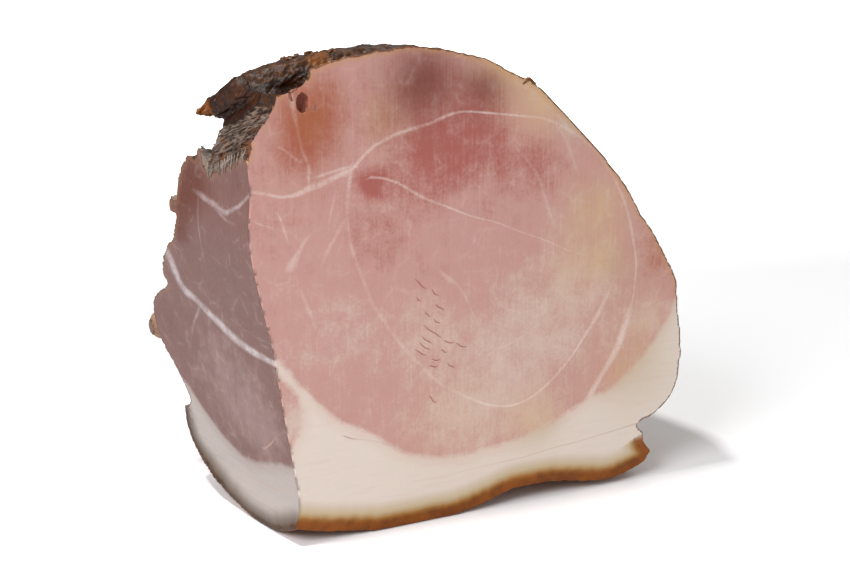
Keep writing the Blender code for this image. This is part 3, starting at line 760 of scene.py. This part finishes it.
def makeMeat(name, plane, seamCount, looks):
    material, shader = newMaterial(name)
    place = addNode("TexCoord").outputs["Object"]
    color = {key: hexToLinear(value) for key, value in looks.items() if isinstance(value, str)}
    pale, gold, dusk = parts(plane + "Tint")[:3]
    rim, rindShare, crustShare = parts(plane + "Rim")[:3]
    fat = readField(plane + "Fat")["Fac"]
    mottle = grain(place, looks["mottle"], detail=3, rough=0.6)
    speck = grain(place, looks["speck"], detail=2, shift=3.0)
    upright = (1, 1, looks["fibre"] / looks["fibreLength"])
    fibres = grain(place, looks["fibre"], upright, detail=3, rough=0.6)

    tone = calc("MULTIPLY_ADD", pale, 0.5, 0.5)
    for texture, amount in ((mottle, 0.55), (speck, 0.3), (fibres, 0.25)):
        tone = calc("ADD", tone, centred(texture, amount))
    meat = blend(ramp(tone, 0, 0.5), color["deep"], color["middle"])
    meat = blend(ramp(tone, 0.5, 1.0), meat, color["pale"])
    # Golden patches streaked along the fibres: partly golden meat, partly painted iridescent sheen
    goldenAndSheenShare = calc("MULTIPLY", gold, ramp(fibres, 0.35, 0.65, 0.6, 1.0), clamp=True)
    meat = blend(goldenAndSheenShare, meat, color["goldenAndSheen"])
    meat = blend(calc("MULTIPLY", gold, -0.9, clamp=True), meat, color["rust"])
    meat = blend(calc("MULTIPLY", dusk, 0.8, clamp=True), meat, color["dusky"])
    meat = blend(ramp(fibres, 0.58, 0.78, 0, 0.08), meat, color["sinew"])

    bend = addNode("TexNoise", {"Vector": place, "Scale": 1 / (9 * mm), "Detail": 2.0}).outputs["Color"]
    links = {0: bend, 1: (6 * mm,) * 3, 2: place}
    warped = addNode("VectorMath", links, operation="MULTIPLY_ADD").outputs[0]
    links = {"Vector": warped, "Scale": 1 / (looks["net"] * mm)}
    net = addNode("TexVoronoi", links, feature="DISTANCE_TO_EDGE").outputs["Distance"]
    veins = ramp(net, 0, 0.08, 1, 0)
    veins = calc("MULTIPLY", veins, ramp(mottle, 0.45, 0.65, 0, 0.09))
    meat = blend(veins, meat, color["sinew"])
    line = strongest(plane, "Seams", seamCount)
    line = calc("MULTIPLY", line, ramp(speck, 0.3, 0.55, 0.5, 0.85))
    line = calc("MULTIPLY", line, ramp(mottle, 0.35, 0.6, 0.55, 1.0))
    meat = blend(line, meat, color["sinew"])

    ragged = calc("ADD", centred(mottle, 3.5), centred(speck, 1.4))
    inFat = ramp(calc("ADD", fat, ragged), -2.2, 1.5)
    layers = grain(place, 1.5, (0.08, 0.08, 1), detail=3, shift=5.0)
    fatTone = blend(ramp(layers, 0.5, 0.75, 0, 0.4), color["fat"], color["fatPink"])
    fatTone = blend(ramp(fat, 0, 7.0, 0.55, 0), fatTone, color["fatPink"])
    band = looks["rindBand"]
    toRind = calc("MULTIPLY", ramp(rim, band, band + 9, 1, 0), rindShare)
    fatTone = blend(calc("MAXIMUM", toRind, gold, clamp=True), fatTone, color["fatByRind"])
    surface = blend(inFat, meat, fatTone)
    # Creases and splits: darker lines, painted shade in the creases
    creaseShade = strongest(plane, "Creases", 1)
    surface = blend(calc("MULTIPLY", creaseShade, 0.8), surface, color["crease"])

    rimHere = calc("ADD", rim, centred(mottle, 1.6))
    stain = calc("MULTIPLY", ramp(rimHere, band * 0.75, band * 1.35, 1, 0), rindShare)
    rindTone = blend(ramp(mottle, 0.35, 0.6), color["rindDark"], color["rind"])
    rindTone = blend(ramp(fibres, 0.5, 0.8, 0, 0.3), rindTone, color["rindDark"])
    rindTone = blend(ramp(rimHere, band * 0.5, band * 1.1, 0, 0.8), rindTone, color["rindGold"])
    surface = blend(stain, surface, rindTone)

    edge = calc("ADD", rim, centred(speck, 1.4))
    notRind = calc("SUBTRACT", 1, rindShare)
    glow = ramp(edge, 0.8, 3.6, looks["rimGlow"], 0)
    glow = calc("MULTIPLY", glow, calc("MULTIPLY", notRind, crustShare))
    surface = blend(glow, surface, color["crustGold"])
    rimLine = calc("MULTIPLY", ramp(edge, 0.3, 1, 0.9, 0), notRind)
    surface = blend(rimLine, surface, color["crustLine"])
    if plane == "large":
        # The cracks: dark red lines, painted shade inside the slits
        distance, middle = parts("crack")[:2]
        crackShade = ramp(calc("ABSOLUTE", distance), 0.1, 0.45, 1, 0)
        crackShade = calc("MULTIPLY", crackShade, middle)
        surface = blend(calc("MULTIPLY", crackShade, 0.75), surface, color["crack"])

    height = calc("ADD", calc("MULTIPLY", fibres, 0.6), calc("MULTIPLY", speck, 0.5))
    bump = addNode("Bump", {"Height": height, "Strength": 0.3, "Distance": 0.25 * mm})
    fill(shader, {
        "Base Color": surface,
        "Roughness": ramp(speck, 0.3, 0.7, looks["roughness"] - 0.07, looks["roughness"] + 0.1),
        "IOR": 1.4,  # water and fat
        "Specular IOR Level": looks["specular"],
        "Subsurface Weight": looks["subsurface"],
        "Subsurface Radius": (1.0, 0.45, 0.3),  # red light goes deepest into meat
        "Subsurface Scale": 3 * mm,
        "Normal": bump.outputs[0],
    })
    return material


# Smoked outside of the ham: leathery rind below, dried fat above it and a hard dark crust on top,
# so the eye sees amber skin with fine pores, then tan fat, then black-brown crags with golden edges.
skinLooks = {
    "rind": "8a4f22", "rindDark": "5e2f12", "rindGold": "b9803f",
    "fat": "b98a5a", "fatDark": "7d5230", "crust": "402512", "crustDark": "1f110a", "crustGold": "7c4c1e",
    "ash": "3c2d27", "strand": "735f52", "strandDark": "2a1a12", "flap": "361907", "flapDark": "180a04",
    "flapGold": "5c2e0a", "amber": "7c4616", "pale": "9c8e82", "pink": "a0604e",
    "pore": 1.3,  # rind pores, drawn at twice their real spacing so that they show
    "roughRind": 0.38, "roughCrust": 0.4,
    "specular": 0.3,  # dried protein reflects less than wet meat
}


def makeSkin():
    looks = skinLooks
    material, shader = newMaterial("smoked rind and crust")
    place = addNode("TexCoord").outputs["Object"]
    color = {key: hexToLinear(value) for key, value in looks.items() if isinstance(value, str)}
    rind, crust, patch = parts("zone")[:3]
    amber, pale, pink = parts("nodules")[:3]
    flap = readField("flap")["Fac"]
    large = grain(place, 16, detail=3, rough=0.6)
    medium = grain(place, 5, detail=3, shift=2.0)
    small = grain(place, 1.6, detail=3, shift=4.0)
    point = addNode("NewGeometry").outputs["Pointiness"]

    rindTone = blend(ramp(large, 0.35, 0.65), color["rindDark"], color["rind"])
    rindTone = blend(ramp(medium, 0.5, 0.72, 0, 0.6), rindTone, color["rindGold"])
    fatTone = blend(ramp(medium, 0.35, 0.65), color["fatDark"], color["fat"])
    crustTone = blend(ramp(medium, 0.3, 0.62), color["crustDark"], color["crust"])
    crustTone = blend(ramp(small, 0.55, 0.75, 0, 0.7), crustTone, color["crustGold"])
    crustTone = blend(ramp(large, 0.5, 0.75, 0, 0.6), crustTone, color["ash"])
    crustTone = blend(ramp(point, 0.5, 0.62, 0, 0.5), crustTone, color["crustGold"])
    turned = addNode("Mapping", {"Vector": place, "Rotation": (0.45, 0, -0.25)}).outputs[0]
    strands = grain(turned, 1.1, (1.0, 0.09, 1.0), detail=3, shift=6.0)
    patchTone = blend(ramp(strands, 0.4, 0.62), color["strandDark"], color["strand"])
    patchTone = blend(ramp(medium, 0.56, 0.7, 0, 0.5), patchTone, color["crustGold"])
    tilted = addNode("Mapping", {"Vector": place, "Rotation": (0, 0.9, 0)}).outputs[0]
    streaks = grain(tilted, 1.3, (0.12, 1, 1.0), detail=3, shift=8.0)
    flapTone = blend(ramp(streaks, 0.33, 0.7), color["flapDark"], color["flap"])
    flapTone = blend(ramp(large, 0.5, 0.75, 0, 0.5), flapTone, color["flapGold"])
    flapTone = blend(ramp(point, 0.52, 0.62, 0, 0.4), flapTone, color["flapGold"])

    surface = blend(rind, fatTone, rindTone)
    surface = blend(crust, surface, crustTone)
    surface = blend(patch, surface, patchTone)
    surface = blend(flap, surface, flapTone)
    flapUnderShade = calc("MULTIPLY", ramp(flap, 0.02, 0.3), ramp(flap, 0.6, 0.95, 0.85, 0))
    surface = blend(flapUnderShade, surface, color["flapDark"])  # painted shade in the gap under the flap
    amberShare = calc("MULTIPLY", amber, ramp(small, 0.35, 0.6, 0.6, 1.0))
    surface = blend(amberShare, surface, color["amber"])
    surface = blend(pale, surface, color["pale"])
    surface = blend(pink, surface, color["pink"])
    gloss = ramp(crust, 0, 1.0, looks["roughRind"], looks["roughCrust"])
    links = {"Vector": place, "Scale": 1 / (looks["pore"] * mm)}
    pores = addNode("TexVoronoi", links).outputs["Distance"]
    height = calc("MULTIPLY_ADD", pores, 0.3, small)
    for texture, zone in ((strands, patch), (streaks, flap)):
        height = calc("ADD", height, calc("MULTIPLY", texture, calc("MULTIPLY", zone, 1.2)))
    bump = addNode("Bump", {"Height": height, "Strength": 0.6, "Distance": 0.5 * mm})
    fill(shader, {
        "Base Color": surface,
        "Roughness": calc("ADD", gloss, centred(small, 0.25)),
        "IOR": 1.45,
        "Specular IOR Level": looks["specular"],
        "Normal": bump.outputs[0],
    })
    return material


def makeHam():
    mesh = makeHamMesh(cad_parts["cooked_ham"])
    print("ham remeshed:", len(mesh.vertices), "points")
    zones = hamZones(readPoints(mesh))
    roughen(mesh, zones)
    print("ham roughened")
    addCutFields(mesh, zones)
    print("seams, fat and rims laid out")
    mesh.materials.clear()
    mesh.materials.append(makeMeat("cooked ham meat", "large", len(largeSeams), meatLooks))
    mesh.materials.append(makeMeat("cooked ham meat, side cut", "side", len(sideSeams), sideShadedLooks))
    mesh.materials.append(makeSkin())
    sortFaces(mesh, zones)
    mesh.shade_smooth()
    ham = bpy.data.objects.new("ham_whole", mesh)
    bpy.context.scene.collection.objects.link(ham)
    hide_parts("cooked_ham")
    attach(ham, "root")
    return ham


# Torn fibres on the patch under the flap, and crumbs and curls of dried crust along the rims
flakes = {
    "patchStrands": 260,
    "hangingFibres": 44,
    "crumbs": 12,
    "sides": 5,
    # curls: radius in millimetres, how amber, pale and pink, then places across, deep and up
    "curls": [
        (0.8, 0.3, 0, 0.6, [(6, 0.5, 206.2), (3.4, 0.5, 204.7), (2.9, 0.5, 202.3), (4.5, 0.5, 200.1)]),
        (0.7, 0, 0.4, 0.5, [(9.2, 0.5, 196.9), (11.8, 0.5, 197.5), (13.9, 0.5, 196.6), (13.1, 0.5, 199.5)]),
        (0.8, 0.9, 0, 0.0, [(109.8, 1, 201.1), (113.2, 1, 203), (116.7, 1, 200.7)]),
    ],
}


# A closed strand that lies along the ham's surface, thin at both ends
def addStrand(grid, tones, surface, path, radius, lift, amber=0.0, pale=0.0, pink=0.0):
    places = []
    for place in path:
        hit, normal = surface.find_nearest(place)[:2]
        places.append(hit + normal * lift * mm)
    rings = []
    for index, place in enumerate(places):
        ahead = (places[min(index + 1, len(places) - 1)] - places[max(index - 1, 0)]).normalized()
        aside = ahead.cross(Vector((0.31, 0.17, 0.93))).normalized()
        over = ahead.cross(aside)
        thick = radius * mm * (0.35 + 0.65 * math.sin(math.pi * (index + 0.5) / len(places)))
        ring = []
        for side in range(flakes["sides"]):
            angle = math.tau * side / flakes["sides"]
            spot = place + (aside * math.cos(angle) + over * math.sin(angle)) * thick
            spot = Vector(np.clip(spot, np.array(cadBox[0]) + 1e-5, np.array(cadBox[1]) - 1e-5))
            ring.append(grid.verts.new(spot))
            tones.append((amber, pale, pink))
        rings.append(ring)
    for ring, after in zip(rings, rings[1:]):
        for side in range(len(ring)):
            grid.faces.new((ring[side - 1], ring[side], after[side], after[side - 1]))
    grid.faces.new(rings[0])
    grid.faces.new(reversed(rings[-1]))


def makeFlakes(ham):
    mesh = ham.data
    surface = BVHTree.FromPolygons([v.co for v in mesh.vertices], [p.vertices for p in mesh.polygons])
    grid = bmesh.new()
    tones = []
    for _ in range(flakes["patchStrands"]):
        reach = random.uniform(5, 33)
        foot = np.interp(reach, *zip(*patchFoot))
        above = random.uniform(0.5, 15)
        length, rise = random.uniform(3, 10), math.radians(random.uniform(24, 42))
        top = min(foot + above + length * math.sin(rise), 197 - 0.25 * reach)
        path = [sidePlace(reach - length * math.cos(rise) * t, foot + above + (top - foot - above) * t
                          + math.sin(4 * t + reach) * 0.2) for t in np.linspace(0, 1, 6)]
        amber = random.choice((0, 0, 0.5, 0.9)) if above < 4 else 0.0
        pale = random.uniform(0.0, 0.6) if amber == 0 and random.random() < 0.5 else 0.0
        radius, lift = random.uniform(0.1, 0.28), random.uniform(-0.1, 0.3)
        addStrand(grid, tones, surface, path, radius, lift, amber, pale)
    for _ in range(flakes["hangingFibres"]):
        reach = random.uniform(1, 33)
        foot = np.interp(reach, *zip(*patchFoot))
        drop, slant = random.uniform(1, 4.5), random.uniform(-1, 3)
        path = [sidePlace(reach + slant * t, foot + 2 - (2 + drop) * t) for t in np.linspace(0, 1, 5)]
        addStrand(grid, tones, surface, path, random.uniform(0.15, 0.4), 0.15, pale=random.uniform(0.3, 0.8))
    for _ in range(flakes["crumbs"]):
        across, depth = random.uniform(4, 24), random.uniform(8, 24)
        path = [facePlace(across + 1.5 * t, depth + 1.5 * t, 221) for t in np.linspace(0, 1, 4)]
        addStrand(grid, tones, surface, path, random.uniform(0.5, 1.0), 0.2, random.uniform(0.3, 0.9))
    for radius, amber, pale, pink, places in flakes["curls"]:
        path = [facePlace(*place) for place in curveThrough(places)]
        addStrand(grid, tones, surface, path, radius, 0.3, amber, pale, pink)
    bmesh.ops.recalc_face_normals(grid, faces=grid.faces)
    flakeMesh = bpy.data.meshes.new("ham_flakes")
    grid.to_mesh(flakeMesh)
    grid.free()
    addField(flakeMesh, "nodules", tones)
    addField(flakeMesh, "zone", [(0, 1, 1)] * len(tones))
    flakeMesh.materials.append(mesh.materials[2])
    flakeMesh.shade_smooth()
    piece = bpy.data.objects.new("ham_flakes", flakeMesh)
    bpy.context.scene.collection.objects.link(piece)
    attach(piece, "root")


# The studio: a plain white floor under soft lights, the strongest from the left and above
studio = {
    "floorSize": 9.0,
    "floor": "fafafa",
    "world": "ffffff",
    "worldStrength": 0.29,
    "lights": [
        # name, place, what it is aimed at, size, power, colour
        ("key", (0.6, -1.5, 0.95), (0, 0, 0.1), 1, 2.4, "fffaf5"),
        ("left", (-0.9, -0.55, 0.9), (0, 0, 0.1), 0.6, 12.5, "fdfcff"),
        ("overhead", (-0.5, -0.02, 1.5), (0.05, 0, 0), 0.14, 14.0, "ffffff"),
        ("right", (0.9, 0.9, 1.4), (0.9, 0.9, 0), 1, 6.5, "ffffff"),
        ("backdrop", (0.8, 1.3, 1.3), (1.2, 2.7, 0), 2.0, 78.0, "ffffff"),
    ],
}
camera = {
    "lens": 60, "azimuth": -24, "elevation": 17, "distance": 0.625,
    "target": (cuts["footX"] + 0.063, cuts["faceY"], 0.1159),
}


def aimAt(obj, target):
    obj.rotation_euler = (Vector(target) - obj.location).to_track_quat("-Z", "Y").to_euler()


def makeStudio():
    scene = bpy.context.scene
    scene.view_settings.view_transform = "Standard"
    bpy.ops.mesh.primitive_plane_add(size=studio["floorSize"])
    floor = bpy.context.object
    floor.name = "floor"
    material, shader = newMaterial("matte white paper")
    fill(shader, {"Base Color": hexToLinear(studio["floor"]), "Roughness": 0.6})
    floor.data.materials.append(material)
    world = bpy.data.worlds.new("studio")
    scene.world = world
    world.use_nodes = True
    sky = {"Color": hexToLinear(studio["world"]), "Strength": studio["worldStrength"]}
    fill(world.node_tree.nodes["Background"], sky)
    for name, place, target, size, power, tint in studio["lights"]:
        light = bpy.data.lights.new(name, "AREA")
        light.size = size
        light.energy = power
        light.color = hexToLinear(tint)[:3]
        lamp = bpy.data.objects.new(name, light)
        lamp.location = place
        aimAt(lamp, target)
        scene.collection.objects.link(lamp)


def makeCamera():
    azimuth, elevation = math.radians(camera["azimuth"]), math.radians(camera["elevation"])
    back = Vector((math.sin(azimuth) * math.cos(elevation), -math.cos(azimuth) * math.cos(elevation),
                   math.sin(elevation)))
    data = bpy.data.cameras.new("camera")
    data.lens = camera["lens"]
    obj = bpy.data.objects.new("camera", data)
    obj.location = Vector(camera["target"]) + back * camera["distance"]
    aimAt(obj, camera["target"])
    bpy.context.scene.collection.objects.link(obj)
    bpy.context.scene.camera = obj


wholeHam = makeHam()
makeFlakes(wholeHam)
print("flakes and fibres laid on")
makeStudio()
makeCamera()
print("studio and camera placed")
